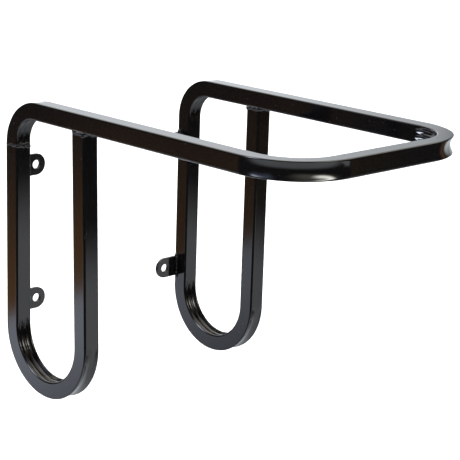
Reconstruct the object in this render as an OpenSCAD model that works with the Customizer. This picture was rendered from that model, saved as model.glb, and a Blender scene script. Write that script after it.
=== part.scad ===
// Wall-mounted saddle rack, bent and welded from square steel tube.
// The rack hangs on a wall at Y = 0 and reaches out along -Y. X runs left to right and Z up.
// The origin is the centre of the four screw holes, on the wall.

/* [Frame] */
// Overall width across the two arms
rack_w = 355.6; // [300:0.2:420]
// Reach from the wall to the front of the front bar
reach = 571.5; // [450:0.5:650]
// Overall height from the bottom of the loops to the top of the arms
rack_h = 428; // [400:1:480]

/* [Tube] */
// Outside size of the square tube
tube = 25.4; // [25:0.1:30]
// Wall thickness of the tube
wall = 1.65; // [1.2:0.05:2.1]
// Outside corner radius of the tube
corner_r = 2.2; // [2.2:0.1:3]

/* [Bends] */
// Centreline radius of the loops at the foot of the legs
loop_r = 76.2; // [65:0.1:90]
// Centreline radius of the two front corners
front_r = 76.2; // [65:0.1:90]
// Centreline radius of the two bends above the posts
rear_r = 50.8; // [45:0.1:60]
// Depth to which the outer wall sags in the middle of a bend
sag = 4.4; // [2:0.1:4.4]
// Depth of the groove in the inner wall in the middle of a bend
groove = 3; // [2:0.1:3.5]

/* [Wall tabs] */
// Distance between the screw holes across the wall
hole_dx = 254; // [230:0.5:260]
// Distance between the screw holes up the wall
hole_dz = 203.2; // [180:0.1:210]
// Height of the lower screw holes above the bottom of the loops
hole_low = 119.5; // [110:0.5:130]
// Diameter of a screw hole
hole_d = 12.7; // [6:0.1:14]
// Height of a tab
tab_h = 32; // [26:0.5:38]
// Thickness of a tab
tab_t = 4.8; // [4.7:0.1:6]

/* [Welds] */
// Drop of the splice below the end of the rear bend
splice_drop = 5; // [3:0.5:20]
// Gap between the tube ends that a weld bridges
root_gap = 0.4; // [0.2:0.1:0.8]
// Leg length of the fillet along a tab
fillet = 4.5; // [3:0.1:4.5]

/* [Hidden] */
$fn = 64;

coat = "#17181b";
bare_weld = "#2a2c30";

// The side of the rack is drawn as [forward, up] and the bow as [across, forward].
half = tube / 2;
left = -1;
right = 1;
bottom_z = -hole_low - hole_dz / 2;
top_z = bottom_z + rack_h;
arm_z = top_z - half;
arm_under_z = top_z - tube;
arm_x = rack_w / 2 - half;
post_f = half;
loop_f = post_f + loop_r;
front_post_f = loop_f + loop_r;
loop_z = bottom_z + half + loop_r;
rear_bend_f = post_f + rear_r;
rear_bend_z = arm_z - rear_r;
front_bend_f = reach - half - front_r;
front_bend_x = arm_x - front_r;
splice_z = rear_bend_z - splice_drop;
front_post_top_z = arm_under_z - root_gap;

// Radii of the round tools that press the hollows into the walls of a bend
sag_tool_r = 12.4;
groove_tool_r = 8;

// Width and height of the beads
splice_bead = [10, 2];
arm_bead = [12, 3];

// Radius of the circle through a point m out on the bisector and the two ends of an arc of radius r
function arc_through(r, m, half_angle) =
    (r * r + m * m - 2 * r * m * cos(half_angle)) / (2 * (m - r * cos(half_angle)));

// Turns [forward, up] drawings into the plane of a leg
module side_view() rotate([90, 0, -90]) children();

// Turns [across, forward] drawings into the level plane of the bow
module plan_view() translate([0, 0, arm_z]) rotate([180, 0, 0]) children();

module section(inset) {
    side = tube - 2 * inset;
    r = corner_r - inset;
    square([side, side - 2 * r], center = true);
    square([side - 2 * r, side], center = true);
    for (x = [-1, 1], y = [-1, 1])
        translate([x * (side / 2 - r), y * (side / 2 - r)]) circle(r);
}

module tube_section() {
    difference() {
        section(0);
        section(wall);
    }
}

module straight(start, length, heading) {
    translate([start[0], start[1], 0])
        rotate([0, 90, heading])
            linear_extrude(length) tube_section();
}

// Ring sector whose round section touches radius a, from outside (side = 1) or from inside (side = -1)
module press_tool(a, shift, tool_r, side, half_angle) {
    translate([shift, 0, 0])
        rotate([0, 0, -half_angle])
            rotate_extrude(angle = 2 * half_angle)
                translate([a + side * tool_r, 0]) circle(tool_r);
}

// Sag of the outer wall. It is deepest on the bisector and fades out at the ends of the bend.
module sag_tool(radius, half_angle, inset) {
    face_r = radius + half;
    deep_r = face_r - sag;
    a = arc_through(face_r, deep_r, half_angle);
    press_tool(a - inset, deep_r - a, sag_tool_r + inset, 1, half_angle);
}

// Groove of the inner wall, which fades out in the same way
module groove_tool(radius, half_angle, inset) {
    face_r = radius - half;
    deep_r = face_r + groove;
    a = arc_through(face_r, deep_r, half_angle);
    end_angle = atan2(face_r * sin(half_angle), face_r * cos(half_angle) - deep_r + a);
    press_tool(a + inset, deep_r - a, groove_tool_r + inset, -1, 2 * end_angle - half_angle);
}

module pressed_bend(radius, angle, inset) {
    difference() {
        rotate([0, 0, -angle / 2])
            rotate_extrude(angle = angle)
                translate([radius, 0]) section(inset);
        sag_tool(radius, angle / 2, inset);
        groove_tool(radius, angle / 2, inset);
    }
}

// Hollow bend about a centre, with its middle facing the heading
module bend(center, radius, heading, angle) {
    translate([center[0], center[1], 0])
        rotate([0, 0, heading])
            difference() {
                pressed_bend(radius, angle, 0);
                pressed_bend(radius, angle, wall);
            }
}

// Post on the wall, loop and front post, up to the given height of the post
module leg(side, post_top_z) {
    translate([side * arm_x, 0, 0])
        side_view() {
            straight([post_f, loop_z], post_top_z - loop_z, 90);
            bend([loop_f, loop_z], loop_r, -90, 180);
            straight([front_post_f, loop_z], front_post_top_z - loop_z, 90);
        }
}

module rear_bend(side) {
    translate([side * arm_x, 0, 0])
        side_view() bend([rear_bend_f, rear_bend_z], rear_r, 135, 90);
}

module bow_tube() {
    color(coat) {
        translate([left * arm_x, 0, 0])
            side_view() straight([post_f, splice_z], rear_bend_z - splice_z, 90);
        for (side = [left, right]) {
            rear_bend(side);
            plan_view() {
                straight([side * arm_x, rear_bend_f], front_bend_f - rear_bend_f, 90);
                bend([side * front_bend_x, front_bend_f], front_r, 90 - side * 45, 90);
            }
        }
        plan_view() straight([-front_bend_x, reach - half], 2 * front_bend_x, 0);
        leg(right, rear_bend_z);
    }
}

module left_leg_tube() {
    color(coat) leg(left, splice_z - root_gap);
}

module tab_outline() {
    reach_in = (rack_w - hole_dx) / 2 - tube;
    difference() {
        union() {
            circle(tab_h / 2);
            translate([0, -tab_h / 2]) square([reach_in, tab_h]);
        }
        circle(hole_d / 2);
    }
}

// Tab with its screw hole at the origin and its square end toward +X
module tab_plate() {
    rotate([90, 0, 0]) linear_extrude(tab_t) tab_outline();
}

module at_hole(side, level) {
    translate([side * hole_dx / 2, 0, level * hole_dz / 2])
        mirror([side < 0 ? 1 : 0, 0, 0]) children();
}

module tab(side, level) {
    color(coat) at_hole(side, level) tab_plate();
}

// Fillet in the corner between a tab's front and its post, with a blob of weld past each end
module tab_weld(side, level) {
    post_face = (rack_w - hole_dx) / 2 - tube;
    color(bare_weld) at_hole(side, level)
        difference() {
            intersection() {
                translate([post_face, -tab_t, 0]) {
                    cylinder(r = fillet, h = tab_h, center = true);
                    translate([0, 0, tab_h / 2]) sphere(fillet);
                    translate([0, 0, -tab_h / 2]) sphere(fillet * 0.8);
                }
                translate([post_face - 2 * fillet, -tab_t - 2 * fillet, -tab_h])
                    cube([2 * fillet, 4 * fillet, 2 * tab_h]);
            }
            tab_plate();
        }
}

// Cross-section of a bead that lies on a flat face, as [out of the face, along the tube]
module bead_section(bead) {
    width = bead[0];
    height = bead[1];
    r = (width * width / 4 + height * height) / (2 * height);
    intersection() {
        translate([height - r, 0]) circle(r);
        translate([0, -width]) square([2 * height, 2 * width]);
    }
}

// Bead all round an upright tube
module bead_ring(bead) {
    flat = half - corner_r;
    for (quarter = [0:3]) rotate([0, 0, 90 * quarter]) {
        translate([half, flat, 0]) rotate([90, 0, 0]) linear_extrude(2 * flat) bead_section(bead);
        translate([flat, flat, 0]) rotate_extrude(angle = 90) translate([corner_r, 0]) bead_section(bead);
    }
}

// Weld metal that fills the gap between two tube ends, from z = 0 down
module root_filler() {
    translate([0, 0, -root_gap]) linear_extrude(root_gap) tube_section();
}

// Bead round the butt joint on the left post, ground flush where the post meets the wall
module splice_weld() {
    color(bare_weld)
        translate([left * arm_x, -post_f, splice_z]) {
            root_filler();
            difference() {
                translate([0, 0, -root_gap / 2]) bead_ring(splice_bead);
                translate([-tube, half, -tube]) cube(2 * tube);
            }
        }
}

// Bead round the top of a front post, cut away where the arm is
module arm_weld(side) {
    color(bare_weld)
        translate([side * arm_x, -front_post_f, arm_under_z]) {
            root_filler();
            difference() {
                bead_ring(arm_bead);
                translate([0, tube, half]) rotate([90, 0, 0]) linear_extrude(2 * tube) section(0);
            }
        }
}

bow_tube();
left_leg_tube();
tab(left, 1);  // tab_upper_left
tab(left, -1);  // tab_lower_left
tab(right, 1);  // tab_upper_right
tab(right, -1);  // tab_lower_right
splice_weld();
arm_weld(left);  // arm_weld_left
arm_weld(right);  // arm_weld_right
tab_weld(left, 1);  // tab_weld_upper_left
tab_weld(left, -1);  // tab_weld_lower_left
tab_weld(right, 1);  // tab_weld_upper_right
tab_weld(right, -1);  // tab_weld_lower_right
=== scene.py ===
"""Looks for the wall-mounted saddle rack: two bent square tubes, four wall tabs and seven weld beads.

Everything is in metres in the frame's axes: the wall is the plane y = 0, the arms reach out along -Y,
X runs left to right and Z up.
"""
import math
import random

import bmesh
import bpy
from mathutils import Matrix, Vector


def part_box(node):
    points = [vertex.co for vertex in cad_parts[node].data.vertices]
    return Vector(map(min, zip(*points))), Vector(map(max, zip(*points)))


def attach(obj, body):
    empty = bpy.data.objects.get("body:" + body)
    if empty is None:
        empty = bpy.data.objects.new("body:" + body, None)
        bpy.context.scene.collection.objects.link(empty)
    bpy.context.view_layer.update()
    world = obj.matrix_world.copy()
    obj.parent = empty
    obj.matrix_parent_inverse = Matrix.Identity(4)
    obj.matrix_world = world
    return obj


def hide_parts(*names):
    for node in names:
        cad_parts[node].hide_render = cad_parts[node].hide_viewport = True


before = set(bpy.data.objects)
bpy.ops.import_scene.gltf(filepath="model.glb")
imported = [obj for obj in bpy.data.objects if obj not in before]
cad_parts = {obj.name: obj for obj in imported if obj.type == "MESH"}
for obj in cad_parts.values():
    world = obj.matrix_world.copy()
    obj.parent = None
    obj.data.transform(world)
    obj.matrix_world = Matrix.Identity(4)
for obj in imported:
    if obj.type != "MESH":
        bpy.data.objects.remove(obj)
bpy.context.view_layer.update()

MM = 0.001

# Sizes that the frame doesn't give by itself
TUBE = 25.4 * MM
WALL = 1.65 * MM
CORNER_R = 2.2 * MM
LOOP_R = 76.2 * MM
FRONT_R = 76.2 * MM
REAR_R = 50.8 * MM
HALF = TUBE / 2
FLAT = HALF - CORNER_R
ROOT_GAP = 0.4 * MM         # left for the weld where a tube's end meets the arm or the other tube

# Sizes worked out from the frame
bow_low, bow_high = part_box("bow_tube")
ARM_X = bow_high.x - HALF
REACH = -bow_low.y
TOP_Z = bow_high.z
BOTTOM_Z = bow_low.z
ARM_Z = TOP_Z - HALF
ARM_UNDER_Z = TOP_Z - TUBE
REAR_BEND_Z = ARM_Z - REAR_R
SPLICE_Z = sum(corner.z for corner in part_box("splice_weld")) / 2
LOOP_Z = BOTTOM_Z + HALF + LOOP_R
FRONT_POST_TOP_Z = ARM_UNDER_Z - ROOT_GAP

LEFT, RIGHT = -1, 1


# ---------------------------------------------------------------------------------------------- meshes

def new_object(name, mesh):
    piece = bpy.data.objects.new(name, mesh)
    bpy.context.scene.collection.objects.link(piece)
    return piece


def shade_smooth(mesh):
    for polygon in mesh.polygons:
        polygon.use_smooth = True


def mesh_from(name, points, faces):
    mesh = bpy.data.meshes.new(name)
    mesh.from_pydata([tuple(p) for p in points], [], faces)
    mesh.validate()
    mesh.update()
    shade_smooth(mesh)
    return mesh


def finish_piece(piece, node, material):
    piece.data.materials.clear()
    piece.data.materials.append(material)
    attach(piece, "root")
    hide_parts(node)


def smooth_step(x):
    x = min(1.0, max(0.0, x))
    return x * x * (3 - 2 * x)


# ---------------------------------------------------------------------------------------------- tube

# A tube is swept along a path that a turtle walks. The section's sides are numbered: side 0 faces along n,
# side 1 along b, side 2 along -n and side 3 along -b, where b is the heading crossed with n.
BEND_STEP = math.radians(2.0)
RUN_STEP = 14 * MM
LEAD = 9 * MM       # how far before a bend its walls start to give
LEAD_STEP = 1.5 * MM


class Station:
    """One ring of the sweep: where it is, which ways its sides face, and how far along the tube it lies."""

    def __init__(self, at, heading, n, travelled):
        self.at, self.n = at.copy(), n.copy()
        self.b = heading.cross(n)
        self.travelled = travelled


class Walker:
    """Walks the tube's path and leaves a station at every step. It remembers each bend's side, start, end
    and how much thinner the section gets there."""

    def __init__(self, at, heading, n):
        self.at, self.heading, self.n = Vector(at), Vector(heading), Vector(n)
        self.travelled = 0.0
        self.bends = []
        self.stations = [Station(self.at, self.heading, self.n, 0.0)]

    def leave_station(self, travelled):
        self.stations.append(Station(self.at, self.heading, self.n, travelled))

    def run(self, length):
        """Goes straight, with short steps near both ends, where the bends' hollows run out."""
        lead = min(LEAD, length / 3)
        lead_steps = max(1, round(lead / LEAD_STEP))
        middle_steps = max(1, round((length - 2 * lead) / RUN_STEP))
        distances = [lead * i / lead_steps for i in range(1, lead_steps + 1)]
        distances += [lead + (length - 2 * lead) * i / middle_steps for i in range(1, middle_steps + 1)]
        distances += [length - lead + lead * i / lead_steps for i in range(1, lead_steps + 1)]
        start = self.at.copy()
        for distance in distances:
            self.at = start + self.heading * distance
            self.leave_station(self.travelled + distance)
        self.travelled += length

    def bend(self, side, radius, degrees, flatten=0.0):
        """Turns away from the given side of the section, which becomes the outer face of the bend."""
        outward = self.n if side == 0 else self.heading.cross(self.n)
        centre = self.at - outward * radius
        axis = outward.cross(self.heading)
        total = math.radians(degrees)
        steps = round(total / BEND_STEP)
        start, heading, n = self.at.copy(), self.heading.copy(), self.n.copy()
        for i in range(1, steps + 1):
            angle = total * i / steps
            turn = Matrix.Rotation(angle, 3, axis)
            self.at = centre + turn @ (start - centre)
            self.heading, self.n = turn @ heading, turn @ n
            self.leave_station(self.travelled + radius * angle)
        self.bends.append((side, self.travelled, self.travelled + radius * total, flatten))
        self.travelled += radius * total


# How the outer wall of a bend sags, and how much thinner the crushed bends are
SAG = 4.4 * MM
SAG_RUN_IN = 40 * MM
SAG_HALF_WIDTH = 12.2 * MM
SAG_POWER = 1.12
FLATTEN = 2.2 * MM

# How the inner wall folds
GROOVE = 3.0 * MM
GROOVE_RUN_IN = 30 * MM
GROOVE_OFF = 4.5 * MM
GROOVE_HALF_WIDTH = 5.0 * MM
GROOVE_POWER = 1.2
TROUGH = 1.1 * MM
TROUGH_RUN_IN = GROOVE_RUN_IN * 0.6
TROUGH_HALF_WIDTH = 10.8 * MM


def hollow(v, half_width, power):
    """Depth from 0 to 1 across a hollow. A higher power gives it softer shoulders."""
    r2 = (v / half_width) ** 2
    return (1 - r2) ** power if r2 < 1 else 0.0


def channel(v, half_width, into, run_in):
    """Depth from 0 to 1 of a channel with a round end, so far in from that end."""
    return hollow(math.hypot(v, half_width * max(0.0, 1 - into / run_in)), half_width, GROOVE_POWER)


def outer_press(into, v):
    """The outer wall of a bend sags in one wide hollow, which fades out at both ends of the bend."""
    return SAG * smooth_step(into / SAG_RUN_IN) * hollow(v, SAG_HALF_WIDTH, SAG_POWER)


def inner_press(into, v):
    """The inner wall folds into two channels side by side, in a shallow trough."""
    twin = max(channel(v - GROOVE_OFF, GROOVE_HALF_WIDTH, into, GROOVE_RUN_IN),
               channel(v + GROOVE_OFF, GROOVE_HALF_WIDTH, into, GROOVE_RUN_IN))
    return GROOVE * twin + TROUGH * channel(v, TROUGH_HALF_WIDTH, into, TROUGH_RUN_IN)


SIDE_STEPS = 28
CORNER_STEPS = 5


def section_outline(inset):
    """The section's outline before bending, as points (along n, along b), from side 0 round to side 3."""
    half, corner = HALF - inset, CORNER_R - inset
    flat = half - corner
    quarter = [Vector((half, flat * (2 * i / SIDE_STEPS - 1))) for i in range(SIDE_STEPS + 1)]
    quarter += [Vector((flat + corner * math.cos(a), flat + corner * math.sin(a)))
                for a in (math.pi / 2 * i / CORNER_STEPS for i in range(1, CORNER_STEPS))]
    return [Matrix.Rotation(math.pi / 2 * side, 2) @ p for side in range(4) for p in quarter]


OUTWARD = (Vector((1, 0)), Vector((0, 1)), Vector((-1, 0)), Vector((0, -1)))


def ring(station, bends, outline, inset):
    """Points round the tube's skin or its bore, with a bend's walls pressed in and its section thinned."""
    presses, squeezes = [], []
    for side, start, end, flatten in bends:
        into = min(station.travelled - start, end - station.travelled) + LEAD
        if into > 0:
            presses += [(side, outer_press, into), ((side + 2) % 4, inner_press, into)]
            squeezes.append((OUTWARD[side], flatten * smooth_step(into / SAG_RUN_IN)))
    points = []
    for p in outline:
        moved = p.copy()
        for side, press, into in presses:
            out, across = OUTWARD[side], OUTWARD[(side + 1) % 4]
            share = min(1.0, max(0.0, (p.dot(out) - FLAT) / (CORNER_R - inset)))
            if share:
                moved -= out * (press(into, p.dot(across)) * smooth_step(share))
        for out, depth in squeezes:
            moved -= out * (depth * (p.dot(out) + HALF) / TUBE)
        points.append(station.at + station.n * moved.x + station.b * moved.y)
    return points


def tube_mesh(name, walker):
    """Hollow tube: the skin, the bore and a ring of faces at each end."""
    points, faces = [], []
    skins = []
    for inset in (0.0, WALL):
        rows = []
        outline = section_outline(inset)
        for station in walker.stations:
            around = ring(station, walker.bends, outline, inset)
            rows.append(range(len(points), len(points) + len(around)))
            points.extend(around)
        skins.append(rows)
    count = len(skins[0][0])
    for skin, rows in enumerate(skins):
        for low_row, high_row in zip(rows, rows[1:]):
            for i in range(count):
                j = (i + 1) % count
                quad = (low_row[i], low_row[j], high_row[j], high_row[i])
                faces.append(quad if skin == 0 else quad[::-1])
    for end, flip in ((0, True), (-1, False)):
        outer, inner = skins[0][end], skins[1][end]
        for i in range(count):
            j = (i + 1) % count
            quad = (outer[i], outer[j], inner[j], inner[i])
            faces.append(quad[::-1] if flip else quad)
    return mesh_from(name, points, faces)


def walk_leg(walker, run_down, lean=0.0, spread=0.0):
    """Down the post, round the loop and up the front post to the underside of the arm. The front post may
    lean by some degrees, on a loop that is wider in radius."""
    walker.run(run_down)
    walker.bend(0, LOOP_R + spread, 180 + lean)
    walker.run((FRONT_POST_TOP_Z - walker.at.z) / walker.heading.z)


def bow_walk():
    walker = Walker((-ARM_X, -HALF, SPLICE_Z + ROOT_GAP), (0, 0, 1), (0, 1, 0))
    arm_run = REACH - TUBE - REAR_R - FRONT_R
    walker.run(REAR_BEND_Z - SPLICE_Z - ROOT_GAP)
    walker.bend(0, REAR_R, 90, FLATTEN)
    walker.run(arm_run)
    walker.bend(1, FRONT_R, 90, FLATTEN)
    walker.run(2 * (ARM_X - FRONT_R))
    walker.bend(1, FRONT_R, 90, FLATTEN)
    walker.run(arm_run)
    walker.bend(0, REAR_R, 90)
    walk_leg(walker, REAR_BEND_Z - LOOP_Z)
    return walker


# The left front post leans by this many degrees, and its loop is wider in radius
LEFT_LEAN = 1.5
LEFT_SPREAD = 3.4 * MM


def left_leg_walk():
    walker = Walker((-ARM_X, -HALF, SPLICE_Z), (0, 0, -1), (0, 1, 0))
    walk_leg(walker, SPLICE_Z - LOOP_Z - LEFT_SPREAD, LEFT_LEAN, LEFT_SPREAD)
    return walker


# ---------------------------------------------------------------------------------------------- tabs

TAB_T = 4.8 * MM
TAB_HALF_H = 16 * MM
HOLE_R = 6.35 * MM
TAB_EDGE = 0.9 * MM
TAB_EDGE_STEPS = 4
TAB_EDGE_ANGLE = math.radians(50)
TAB_END_STEPS = 32
HOLE_STEPS = 40


def tab_mesh(name, side, hole, tube_x):
    """Plate with a round end about its hole and a square end against the post."""
    mesh = bpy.data.meshes.new(name)
    made = bmesh.new()
    outline = [(math.cos(a) * TAB_HALF_H, math.sin(a) * TAB_HALF_H)
               for a in (math.radians(90 + 180 * i / TAB_END_STEPS) for i in range(TAB_END_STEPS + 1))]
    reach = abs(tube_x - hole.x)
    outline += [(reach, -TAB_HALF_H), (reach, TAB_HALF_H)]
    outer = [made.verts.new((hole.x + side * x, -TAB_T, hole.z + z)) for x, z in outline]
    inner = [made.verts.new((hole.x + math.cos(a) * HOLE_R, -TAB_T, hole.z + math.sin(a) * HOLE_R))
             for a in (2 * math.pi * i / HOLE_STEPS for i in range(HOLE_STEPS))]
    edges = [made.edges.new((loop[i], loop[(i + 1) % len(loop)])) for loop in (outer, inner)
             for i in range(len(loop))]
    bmesh.ops.triangle_fill(made, use_beauty=True, edges=edges)
    bmesh.ops.dissolve_limit(made, angle_limit=0.01, verts=made.verts, edges=made.edges)
    faces = made.faces[:]
    grown = bmesh.ops.extrude_face_region(made, geom=faces)
    moved = [v for v in grown["geom"] if isinstance(v, bmesh.types.BMVert)]
    bmesh.ops.translate(made, verts=moved, vec=(0, TAB_T, 0))
    bmesh.ops.recalc_face_normals(made, faces=made.faces)
    made.to_mesh(mesh)
    made.free()
    return mesh


def tab_piece(name, side):
    """A tab with softened edges, in its node's place."""
    node_low, node_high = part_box(name)
    tube_x = side * (ARM_X - HALF)
    middle_z = (node_low.z + node_high.z) / 2
    far_x = node_high.x if side < 0 else node_low.x
    hole = Vector((far_x + side * TAB_HALF_H, 0, middle_z))
    piece = new_object(name.replace("tab_", "wall_tab_"), tab_mesh(name, side, hole, tube_x))
    bevel = piece.modifiers.new("softened_edges", "BEVEL")
    bevel.width = TAB_EDGE
    bevel.segments = TAB_EDGE_STEPS
    bevel.limit_method = "ANGLE"
    bevel.angle_limit = TAB_EDGE_ANGLE
    normals = piece.modifiers.new("flat_faces", "WEIGHTED_NORMAL")
    normals.keep_sharp = True
    shade_smooth(piece.data)
    return piece


# ---------------------------------------------------------------------------------------------- welds

WELD_VOXEL = 0.45 * MM
WELD_SMOOTH_ROUNDS = 9
MELT_BACK = 0.3 * MM        # how far the smoothing draws a bead in
LUMP_TALL = 1.1             # height of a blob over its width
BASE_TALL = 1.3
STROKE_TALL = 1.4


def blob_mesh(name, blobs):
    """One lumpy closed skin over many overlapping blobs, each (centre, radii along X, Y, Z)."""
    made = bmesh.new()
    for centre, radii in blobs:
        place = Matrix.Translation(centre) @ Matrix.Diagonal((*radii, 1))
        bmesh.ops.create_icosphere(made, subdivisions=3, radius=1, matrix=place)
    mesh = bpy.data.meshes.new(name)
    made.to_mesh(mesh)
    made.free()
    source = new_object(name, mesh)
    remesh = source.modifiers.new("one_skin", "REMESH")
    remesh.mode, remesh.voxel_size = "VOXEL", WELD_VOXEL
    smooth = source.modifiers.new("melted", "SMOOTH")
    smooth.factor, smooth.iterations = 0.5, WELD_SMOOTH_ROUNDS
    graph = bpy.context.evaluated_depsgraph_get()
    skin = bpy.data.meshes.new_from_object(source.evaluated_get(graph))
    bpy.data.objects.remove(source)
    shade_smooth(skin)
    return skin


def around_tube(steps):
    """Points round the tube's section as (x, y), starting in the middle of the +X side."""
    side = 2 * FLAT
    arc = CORNER_R * math.pi / 2
    total = 4 * (side + arc)
    for i in range(steps):
        s = (total * i / steps + side / 2) % total
        quarter, s = divmod(s, side + arc)
        if s < side:
            point = Vector((HALF, s - FLAT))
        else:
            angle = (s - side) / CORNER_R
            point = Vector((FLAT + CORNER_R * math.cos(angle), FLAT + CORNER_R * math.sin(angle)))
        yield Matrix.Rotation(quarter * math.pi / 2, 2) @ point


def blob(x, y, z, r, tall=1.0):
    return Vector((x, y, z)), (r, r, r * tall)


# Pairs are ranges in millimetres that a lump's radius or its shift in height is drawn from
SPLICE_SEED = 11
FLUSH_BLOB_R = 3.0 * MM     # of the bead on the post's sides, which is ground flush
FLUSH_BLOBS = 52
FLUSH_BACK_GAP = 0.6 * MM   # the wall side of the post stays bare from here
STROKE_BLOBS = 17           # these make the bead's even base on the front of the post
STROKE_BLOB_R = 2.7 * MM
STROKE_IN = 1.5 * MM
SPLICE_LUMPS = 7            # and these its lumps
SPLICE_LUMP_R = (2.7, 3.9)
SPLICE_LUMP_IN = 1.6 * MM
SPLICE_WANDER = 2.8
SPLICE_END_GAP = 3.4 * MM


def splice_piece():
    """Ground flush on the post's sides, where a hairline seam is left, and lumpy on its front."""
    rng = random.Random(SPLICE_SEED)
    blobs = []
    for p in around_tube(FLUSH_BLOBS):
        if p.y > HALF - FLUSH_BACK_GAP:
            continue
        out = p - p.normalized() * (FLUSH_BLOB_R - MELT_BACK)
        blobs.append(blob(out.x - ARM_X, out.y - HALF, SPLICE_Z, FLUSH_BLOB_R))
    half_width = HALF - SPLICE_END_GAP
    for i in range(STROKE_BLOBS):
        x = (2 * i / (STROKE_BLOBS - 1) - 1) * half_width
        blobs.append(blob(x - ARM_X, STROKE_IN - TUBE, SPLICE_Z, STROKE_BLOB_R, STROKE_TALL))
    for i in range(SPLICE_LUMPS):
        x = (2 * i / (SPLICE_LUMPS - 1) - 1) * half_width
        z = SPLICE_Z + rng.uniform(-SPLICE_WANDER, SPLICE_WANDER) * MM
        r = rng.uniform(*SPLICE_LUMP_R) * MM
        blobs.append(blob(x - ARM_X, SPLICE_LUMP_IN - TUBE, z, r, LUMP_TALL))
    return new_object("splice_bead", blob_mesh("splice_bead", blobs))


ARM_WELD_SEED = 21
ARM_BASE_BLOBS = 64
ARM_BASE_R = 2.3 * MM
ARM_BASE_IN = 1.0 * MM
ARM_BASE_DROP = 0.6 * MM
ARM_LUMPS = 18
ARM_LUMP_R = (2.5, 3.9)
ARM_LUMP_IN = 1.5 * MM
ARM_LUMP_DROP = 1.6 * MM
ARM_LUMP_WANDER = (-1.8, 0.6)


def arm_weld_piece(side, seed):
    """An uneven bead under the arm all round the post, with lumps that hang lower in places."""
    rng = random.Random(seed)
    word = "left" if side == LEFT else "right"
    node_low, node_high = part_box(f"arm_weld_{word}")
    centre = (node_low + node_high) / 2
    blobs = []
    for p in around_tube(ARM_BASE_BLOBS):
        out = p - p.normalized() * ARM_BASE_IN
        z = ARM_UNDER_Z - ARM_BASE_DROP
        blobs.append(blob(centre.x + out.x, centre.y + out.y, z, ARM_BASE_R, BASE_TALL))
    for p in around_tube(ARM_LUMPS):
        out = p - p.normalized() * ARM_LUMP_IN
        z = ARM_UNDER_Z - ARM_LUMP_DROP + rng.uniform(*ARM_LUMP_WANDER) * MM
        r = rng.uniform(*ARM_LUMP_R) * MM
        blobs.append(blob(centre.x + out.x, centre.y + out.y, z, r, LUMP_TALL))
    name = f"arm_bead_{word}"
    return new_object(name, blob_mesh(name, blobs))


TAB_WELD_SEED = 31
TAB_WELD_BLOBS = 13
TAB_WELD_R = (2.0, 2.8)
TAB_WELD_LAST_R = 3.6 * MM  # the bead ends in a bigger lump at the top
TAB_WELD_LOW_GAP = 2 * MM
TAB_WELD_HIGH_GAP = 3 * MM
TAB_WELD_IN = 0.6 * MM
TAB_WELD_OUT = 0.5 * MM


def tab_weld_piece(name, side, seed):
    """A fillet bead along the tab's square end, in front of the tab."""
    rng = random.Random(seed)
    node_low, node_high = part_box(name)
    x = side * (ARM_X - HALF - TAB_WELD_IN)
    length = node_high.z - node_low.z - TAB_WELD_LOW_GAP - TAB_WELD_HIGH_GAP
    blobs = []
    for i in range(TAB_WELD_BLOBS):
        z = node_low.z + TAB_WELD_LOW_GAP + length * i / (TAB_WELD_BLOBS - 1)
        r = rng.uniform(*TAB_WELD_R) * MM
        if i == TAB_WELD_BLOBS - 1:
            r = TAB_WELD_LAST_R
        blobs.append(blob(x, -TAB_T - TAB_WELD_OUT, z, r, LUMP_TALL))
    return new_object(name.replace("tab_weld", "tab_bead"), blob_mesh(name, blobs))


# ---------------------------------------------------------------------------------------------- materials

def node_of(tree, kind, **settings):
    node = tree.nodes.new(kind)
    for key, value in settings.items():
        if hasattr(node, key):
            setattr(node, key, value)
        else:
            node.inputs[key].default_value = value
    return node


RUBBED = (0.022, 0.021, 0.021)
SPECK = (0.06, 0.057, 0.052)
EDGE_POINTINESS = (0.515, 0.60)     # where an edge starts to be rubbed, and where it is all rubbed
RUBBED_PATCHES = (0.50, 0.66)
RUBBED_ROUGHNESS = 0.12
RARE_SPECKS = (0.80, 0.82)          # only cells of the pattern with a value past this have a speck
SPECK_SIZE = (0.07, 0.12)
PEEL_DEPTH = 0.2 * MM
BROAD_RANGE = (0.3, 0.7)
TONE_SWING = (0.8, 1.25)            # times the colour and the roughness, from one patch to another
GLOSS_SWING = (0.75, 1.3)


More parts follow.
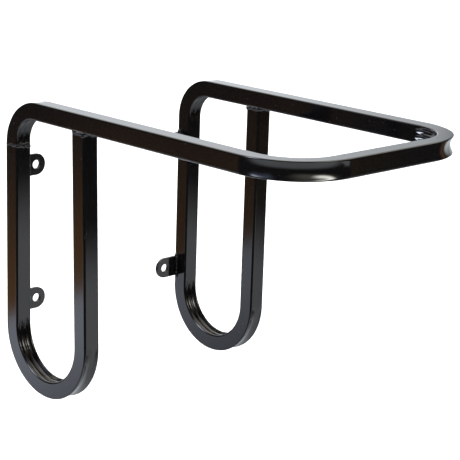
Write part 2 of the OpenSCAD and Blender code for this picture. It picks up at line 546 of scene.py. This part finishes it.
def powder_coat(name, colour, roughness, peel):
    """Gloss black powder coat, with orange peel, slow changes of gloss, rubbed edges and a few specks."""
    material = bpy.data.materials.new(name)
    material.use_nodes = True
    tree = material.node_tree
    link = tree.links.new
    shader = tree.nodes["Principled BSDF"]
    place = tree.nodes.new("ShaderNodeTexCoord")
    fine = node_of(tree, "ShaderNodeTexNoise", Scale=420.0, Detail=2.0)
    broad = node_of(tree, "ShaderNodeTexNoise", Scale=16.0, Detail=3.0)
    patchy = node_of(tree, "ShaderNodeTexNoise", Scale=95.0, Detail=4.0)
    grit = node_of(tree, "ShaderNodeTexVoronoi", Scale=150.0)
    for texture in (fine, broad, patchy, grit):
        link(place.outputs["Object"], texture.inputs["Vector"])

    def mapped(value, from_range, to_min, to_max):
        node = node_of(tree, "ShaderNodeMapRange")
        link(value, node.inputs["Value"])
        for key, setting in zip(("From Min", "From Max", "To Min", "To Max"),
                                (*from_range, to_min, to_max)):
            node.inputs[key].default_value = setting
        return node.outputs["Result"]

    def product(first, second):
        node = node_of(tree, "ShaderNodeMath", operation="MULTIPLY")
        link(first, node.inputs[0])
        link(second, node.inputs[1])
        return node.outputs["Value"]

    def mixed(factor, first, second):
        node = node_of(tree, "ShaderNodeMix", data_type="RGBA")
        link(factor, node.inputs["Factor"])
        for key, value in (("A", first), ("B", second)):
            socket = next(i for i in node.inputs if i.name == key and i.type == "RGBA")
            if isinstance(value, bpy.types.NodeSocket):
                link(value, socket)
            else:
                socket.default_value = (*value, 1)
        return next(o for o in node.outputs if o.type == "RGBA")

    pointiness = tree.nodes.new("ShaderNodeNewGeometry").outputs["Pointiness"]
    edge = mapped(pointiness, EDGE_POINTINESS, 0.0, 1.0)
    rubbed = product(edge, mapped(patchy.outputs["Fac"], RUBBED_PATCHES, 0.0, 1.0))
    rare = mapped(grit.outputs["Color"], RARE_SPECKS, 0.0, 1.0)
    speck = product(rare, mapped(grit.outputs["Distance"], SPECK_SIZE, 1.0, 0.0))

    darker, lighter = ([c * swing for c in colour] for swing in TONE_SWING)
    tone = mixed(broad.outputs["Fac"], darker, lighter)
    tone = mixed(rubbed, tone, RUBBED)
    link(mixed(speck, tone, SPECK), shader.inputs["Base Color"])

    gloss = node_of(tree, "ShaderNodeMath", operation="ADD")
    glossier, duller = (roughness * swing for swing in GLOSS_SWING)
    link(mapped(broad.outputs["Fac"], BROAD_RANGE, glossier, duller), gloss.inputs[0])
    link(mapped(rubbed, (0.0, 1.0), 0.0, RUBBED_ROUGHNESS), gloss.inputs[1])
    link(gloss.outputs["Value"], shader.inputs["Roughness"])

    bump = node_of(tree, "ShaderNodeBump", Strength=peel, Distance=PEEL_DEPTH)
    link(fine.outputs["Fac"], bump.inputs["Height"])
    link(bump.outputs["Normal"], shader.inputs["Normal"])
    return material


# ---------------------------------------------------------------------------------------------- studio

FLOOR_Z = BOTTOM_Z - 0.55
FLOOR_HALF = 14.0


def floor_piece():
    """A pale floor well below the rack. The paint doesn't reflect it, but the world's floor."""
    corners = [(x * FLOOR_HALF, y * FLOOR_HALF, FLOOR_Z) for x, y in ((-1, -1), (1, -1), (1, 1), (-1, 1))]
    mesh = mesh_from("floor", corners, [(0, 1, 2, 3)])
    piece = new_object("studio_floor", mesh)
    material = bpy.data.materials.new("studio_floor")
    material.use_nodes = True
    shader = material.node_tree.nodes["Principled BSDF"]
    shader.inputs["Base Color"].default_value = (0.9, 0.9, 0.9, 1)
    shader.inputs["Roughness"].default_value = 0.9
    shader.inputs["Specular IOR Level"].default_value = 0.0
    shader.inputs["Emission Color"].default_value = (1, 1, 1, 1)
    shader.inputs["Emission Strength"].default_value = 0.35
    mesh.materials.append(material)
    piece.visible_glossy = False


class Graph:
    """Short names for the few shader nodes that the studio is made of. Angles go in as degrees."""

    def __init__(self, tree):
        self.tree = tree
        self.place = tree.nodes.new("ShaderNodeTexCoord").outputs["Generated"]

    def put(self, node, index, value):
        if isinstance(value, bpy.types.NodeSocket):
            self.tree.links.new(value, node.inputs[index])
        else:
            node.inputs[index].default_value = value

    def math(self, operation, *values):
        node = self.tree.nodes.new("ShaderNodeMath")
        node.operation = operation
        for index, value in enumerate(values):
            self.put(node, index, value)
        return node.outputs["Value"]

    def product(self, first, *others):
        for other in others:
            first = self.math("MULTIPLY", first, other)
        return first

    def along(self, direction):
        """How far the looked-at direction goes along the given one."""
        node = self.tree.nodes.new("ShaderNodeVectorMath")
        node.operation = "DOT_PRODUCT"
        self.put(node, 0, self.place)
        self.put(node, 1, tuple(direction))
        return node.outputs["Value"]

    def rise(self, value, start, end):
        """0 at the start and 1 at the end, with a soft step between; start may be the larger."""
        node = self.tree.nodes.new("ShaderNodeMapRange")
        node.interpolation_type = "SMOOTHSTEP"
        self.put(node, "Value", value)
        if start <= end:
            self.put(node, "From Min", start)
            self.put(node, "From Max", end)
        else:
            self.put(node, "From Min", end)
            self.put(node, "From Max", start)
            self.put(node, "To Min", 1.0)
            self.put(node, "To Max", 0.0)
        return node.outputs["Result"]

    def tint(self, colour, amount):
        node = self.tree.nodes.new("ShaderNodeVectorMath")
        node.operation = "SCALE"
        self.put(node, 0, colour)
        self.put(node, "Scale", amount)
        return node.outputs["Vector"]

    def total(self, first, *others):
        for other in others:
            node = self.tree.nodes.new("ShaderNodeVectorMath")
            node.operation = "ADD"
            self.put(node, 0, first)
            self.put(node, 1, other)
            first = node.outputs["Vector"]
        return first

    def angles_from(self, azimuth, elevation):
        """Angles in degrees to the side of a direction and above it."""
        side = Vector((-math.sin(math.radians(azimuth)), math.cos(math.radians(azimuth)), 0))
        forward = (Matrix.Rotation(math.radians(azimuth), 3, "Z")
                   @ Vector((math.cos(math.radians(elevation)), 0, math.sin(math.radians(elevation)))))
        above = forward.cross(side)
        across = self.math("ARCTAN2", self.along(side), self.along(forward))
        over = self.math("ARCSINE", self.along(above))
        return self.math("DEGREES", across), self.math("DEGREES", over)

    def panel(self, azimuth, elevation, width, height, soft, soft_over=None):
        """1 inside a rectangle of the given size in degrees, falling to 0 over the soft border."""
        across, over = self.angles_from(azimuth, elevation)
        sides = [self.rise(self.math("ABSOLUTE", value), (size + border) / 2, (size - border) / 2)
                 for value, size, border in ((across, width, soft), (over, height, soft_over or soft))]
        return self.product(*sides)


# The room as the paint sees it, by direction. Angles are in degrees. Where two of them stand together, the
# first is where a part starts and the second where it is full. Colours may be brighter than white.
ROOM_COLOUR = (0.042, 0.040, 0.043)

# To the left the floor ends in a slanted hard edge, with brown boards past it
LEFT_AZIMUTH = 131.5
LEFT_START, LEFT_END = (-50, -25), (9, 4.5)
LEFT_EDGE_ELEVATION = -16.5
LEFT_EDGE_SLOPE, LEFT_SLOPE_END = 0.31, 6.0
LEFT_EDGE_SOFT = 0.35
LEFT_FARTHER = (-2, 1)
LEFT_FLOOR_LOSS, LEFT_BOARDS_LOSS = 0.26, 0.5
LEFT_FLOOR_LOW, LEFT_FLOOR_GAIN, LEFT_GAIN_RANGE = 0.88, 0.66, (-4.6, -1.2)
LEFT_BOARDS_RANGE, LEFT_BOARDS_POWER = (10.5, -2), 1.6
LEFT_FLOOR_COLOUR = (0.94, 1.02, 1.20)
LEFT_BOARDS_COLOUR = (0.76, 0.36, 0.10)

# To the front right it ends in a soft, bowed edge, with a faint brown patch
FRONT_AZIMUTH = -51
FRONT_MIDDLE, FRONT_RANGE = 5.0, (21, 10)
FRONT_EDGE_ELEVATION, FRONT_EDGE_RANGE = -13.6, (1.2, -1.6)
FRONT_BOW, FRONT_BOW_END = 0.035, 8.0
FRONT_LOSS, FRONT_LOSS_RANGE = 0.25, (1, 7)
FRONT_FLOOR_COLOUR = (1.12, 1.16, 1.22)
FRONT_BOARDS_COLOUR, FRONT_BOARDS_PANEL = (0.16, 0.09, 0.02), (-43, -12, 4, 3, 5)

# Everywhere else it comes up slowly out of the dark
DIM_FLOOR_RANGE = (-20, -50)
DIM_FLOOR_COLOUR = (1.05, 1.12, 1.20)

# The pale wall that the camera looks towards is dimmer on its right, and most of all above eye level there
WALL_AZIMUTH = 46
WALL_PANEL = (50, 8, 96, 74, 14)
WALL_LOW, WALL_GAIN, WALL_GAIN_RANGE = 0.66, 0.34, (-8, 0)
WALL_CORNER_LOSS, WALL_CORNER_RANGE, WALL_CORNER_HEIGHT = 0.5, (-7.4, -9.2), (2, 7)
WALL_COLOUR = (1.33, 1.40, 1.47)

# The ceiling is lit on the side that the camera looks towards, and all of it is lit right overhead
CEILING_RANGE, CEILING_COLOUR = (26, 42), (2.1, 1.98, 1.75)
CEILING_SIDE, CEILING_SIDE_RANGE = (0.7071, 0.7071, 0), (0, 0.3)
TOP_RANGE, TOP_COLOUR = (62, 80), (2.0, 1.9, 1.7)

# Colour, then azimuth, elevation, width, height and the soft border's width and height. Each softbox has a
# wide glow round it, and the last panel is a warm patch low in the dark.
PANELS = (
    ((22.0, 23.4, 26.5), (157, 27, 16, 19, 18, 16)),
    ((0.9, 1.1, 1.7), (158, 30, 34, 36, 22, 26)),
    ((18.5, 18.5, 17.0), (-80, 29, 24, 14, 24, 15)),
    ((1.0, 0.95, 0.8), (-98, 30, 62, 30, 34, 24)),
    ((0.30, 0.13, 0.05), (-12, -12, 14, 30, 10, 10)),
)


def left_parts(g, elevation):
    """Where the left side is, and how bright its floor and its boards are."""
    across, _ = g.angles_from(LEFT_AZIMUTH, 0)
    side = g.product(g.rise(across, *LEFT_START), g.rise(across, *LEFT_END))
    slant = g.product(LEFT_EDGE_SLOPE, g.math("MINIMUM", across, LEFT_SLOPE_END))
    past_edge = g.math("SUBTRACT", g.math("ADD", elevation, -LEFT_EDGE_ELEVATION), slant)
    farther = g.rise(across, *LEFT_FARTHER)
    floor = g.product(side, g.rise(past_edge, LEFT_EDGE_SOFT, -LEFT_EDGE_SOFT),
                      g.math("SUBTRACT", 1.0, g.product(LEFT_FLOOR_LOSS, farther)),
                      g.math("ADD", LEFT_FLOOR_LOW,
                             g.product(LEFT_FLOOR_GAIN, g.rise(past_edge, *LEFT_GAIN_RANGE))))
    boards = g.product(side, g.rise(past_edge, -LEFT_EDGE_SOFT, LEFT_EDGE_SOFT),
                       g.math("SUBTRACT", 1.0, g.product(LEFT_BOARDS_LOSS, farther)),
                       g.math("POWER", g.rise(past_edge, *LEFT_BOARDS_RANGE), LEFT_BOARDS_POWER))
    return side, floor, boards


def front_parts(g, elevation):
    """Where the front right is, and how bright its floor is."""
    across, _ = g.angles_from(FRONT_AZIMUTH, 0)
    bow = g.math("MINIMUM", g.math("ABSOLUTE", across), FRONT_BOW_END)
    past_edge = g.math("ADD", g.math("ADD", elevation, -FRONT_EDGE_ELEVATION),
                       g.product(FRONT_BOW, bow, bow))
    side = g.rise(g.math("ABSOLUTE", g.math("SUBTRACT", across, FRONT_MIDDLE)), *FRONT_RANGE)
    floor = g.product(side, g.rise(past_edge, *FRONT_EDGE_RANGE),
                      g.math("SUBTRACT", 1.0, g.product(FRONT_LOSS, g.rise(across, *FRONT_LOSS_RANGE))))
    return side, floor


def wall_part(g, elevation):
    """How bright the pale wall is."""
    across, _ = g.angles_from(WALL_AZIMUTH, 0)
    corner = g.product(WALL_CORNER_LOSS, g.rise(across, *WALL_CORNER_RANGE),
                       g.rise(elevation, *WALL_CORNER_HEIGHT))
    return g.product(g.panel(*WALL_PANEL),
                     g.math("ADD", WALL_LOW, g.product(WALL_GAIN, g.rise(across, *WALL_GAIN_RANGE))),
                     g.math("SUBTRACT", 1.0, corner))


def studio_world():
    """White to the camera. To the paint, a dark room with a pale floor, a pale wall and two softboxes."""
    world = bpy.data.worlds.new("studio")
    bpy.context.scene.world = world
    world.use_nodes = True
    tree = world.node_tree
    tree.nodes.clear()
    g = Graph(tree)
    elevation = g.math("DEGREES", g.math("ARCSINE", g.along((0, 0, 1))))

    left_side, left_floor, left_boards = left_parts(g, elevation)
    front_side, front_floor = front_parts(g, elevation)
    elsewhere = g.math("SUBTRACT", 1.0, g.math("MINIMUM", g.math("ADD", front_side, left_side), 1.0))
    dim_floor = g.product(elsewhere, g.rise(elevation, *DIM_FLOOR_RANGE))
    ceiling = g.product(g.rise(elevation, *CEILING_RANGE),
                        g.rise(g.along(CEILING_SIDE), *CEILING_SIDE_RANGE))

    parts = [
        g.tint(FRONT_FLOOR_COLOUR, front_floor),
        g.tint(LEFT_FLOOR_COLOUR, left_floor),
        g.tint(DIM_FLOOR_COLOUR, dim_floor),
        g.tint(LEFT_BOARDS_COLOUR, left_boards),
        g.tint(FRONT_BOARDS_COLOUR, g.panel(*FRONT_BOARDS_PANEL)),
        g.tint(WALL_COLOUR, wall_part(g, elevation)),
        g.tint(CEILING_COLOUR, ceiling),
        g.tint(TOP_COLOUR, g.rise(elevation, *TOP_RANGE)),
    ]
    parts += [g.tint(colour, g.panel(*place)) for colour, place in PANELS]

    room = tree.nodes.new("ShaderNodeBackground")
    g.put(room, "Color", g.total(ROOM_COLOUR, *parts))
    white = tree.nodes.new("ShaderNodeBackground")
    g.put(white, "Color", (1, 1, 1, 1))
    mix = tree.nodes.new("ShaderNodeMixShader")
    g.put(mix, "Fac", tree.nodes.new("ShaderNodeLightPath").outputs["Is Camera Ray"])
    g.put(mix, 1, room.outputs["Background"])
    g.put(mix, 2, white.outputs["Background"])
    output = tree.nodes.new("ShaderNodeOutputWorld")
    g.put(output, "Surface", mix.outputs["Shader"])


# The viewpoint: angles in degrees about a point between the arms, a small shift of the camera sideways and
# upwards, and the lens and the sensor in millimetres
CAMERA_TARGET = Vector((0.0320, -0.2500, 0.0296))
CAMERA_AZIMUTH = -44.2
CAMERA_ELEVATION = 15.0
CAMERA_ROLL = 1.94
CAMERA_DISTANCE = 2.162
CAMERA_LENS, CAMERA_SENSOR = 118.65, 36
CAMERA_NUDGE = (-0.0004, 0.0004)


def camera():
    data = bpy.data.cameras.new("camera")
    data.lens, data.sensor_width = CAMERA_LENS, CAMERA_SENSOR
    piece = new_object("camera", data)
    turn = (Matrix.Rotation(math.radians(CAMERA_AZIMUTH), 3, "Z")
            @ Matrix.Rotation(math.radians(90 - CAMERA_ELEVATION), 3, "X")
            @ Matrix.Rotation(math.radians(CAMERA_ROLL), 3, "Z"))
    right, up, back = turn.col
    at = CAMERA_TARGET + back * CAMERA_DISTANCE + right * CAMERA_NUDGE[0] + up * CAMERA_NUDGE[1]
    piece.matrix_world = Matrix.Translation(at) @ turn.to_4x4()
    bpy.context.scene.camera = piece


# ---------------------------------------------------------------------------------------------- the scene

tube_coat = powder_coat("tube_powder_coat", (0.0024, 0.0022, 0.0023), roughness=0.055, peel=0.03)
tab_coat = powder_coat("tab_powder_coat", (0.0034, 0.0033, 0.0035), roughness=0.09, peel=0.05)
weld_coat = powder_coat("weld_powder_coat", (0.0030, 0.0030, 0.0033), roughness=0.04, peel=0.02)

finish_piece(new_object("bent_bow", tube_mesh("bent_bow", bow_walk())), "bow_tube", tube_coat)
finish_piece(new_object("bent_left_leg", tube_mesh("bent_left_leg", left_leg_walk())),
             "left_leg_tube", tube_coat)
finish_piece(splice_piece(), "splice_weld", weld_coat)
for number, (side, word) in enumerate(((LEFT, "left"), (RIGHT, "right"))):
    finish_piece(arm_weld_piece(side, ARM_WELD_SEED + number), f"arm_weld_{word}", weld_coat)
    for level, height in ((1, "upper"), (-1, "lower")):
        tab_name, weld_name = f"tab_{height}_{word}", f"tab_weld_{height}_{word}"
        finish_piece(tab_piece(tab_name, side), tab_name, tab_coat)
        weld = tab_weld_piece(weld_name, side, TAB_WELD_SEED + 2 * number + level)
        finish_piece(weld, weld_name, weld_coat)

floor_piece()
studio_world()
camera()
bpy.context.scene.view_settings.view_transform = "Standard"
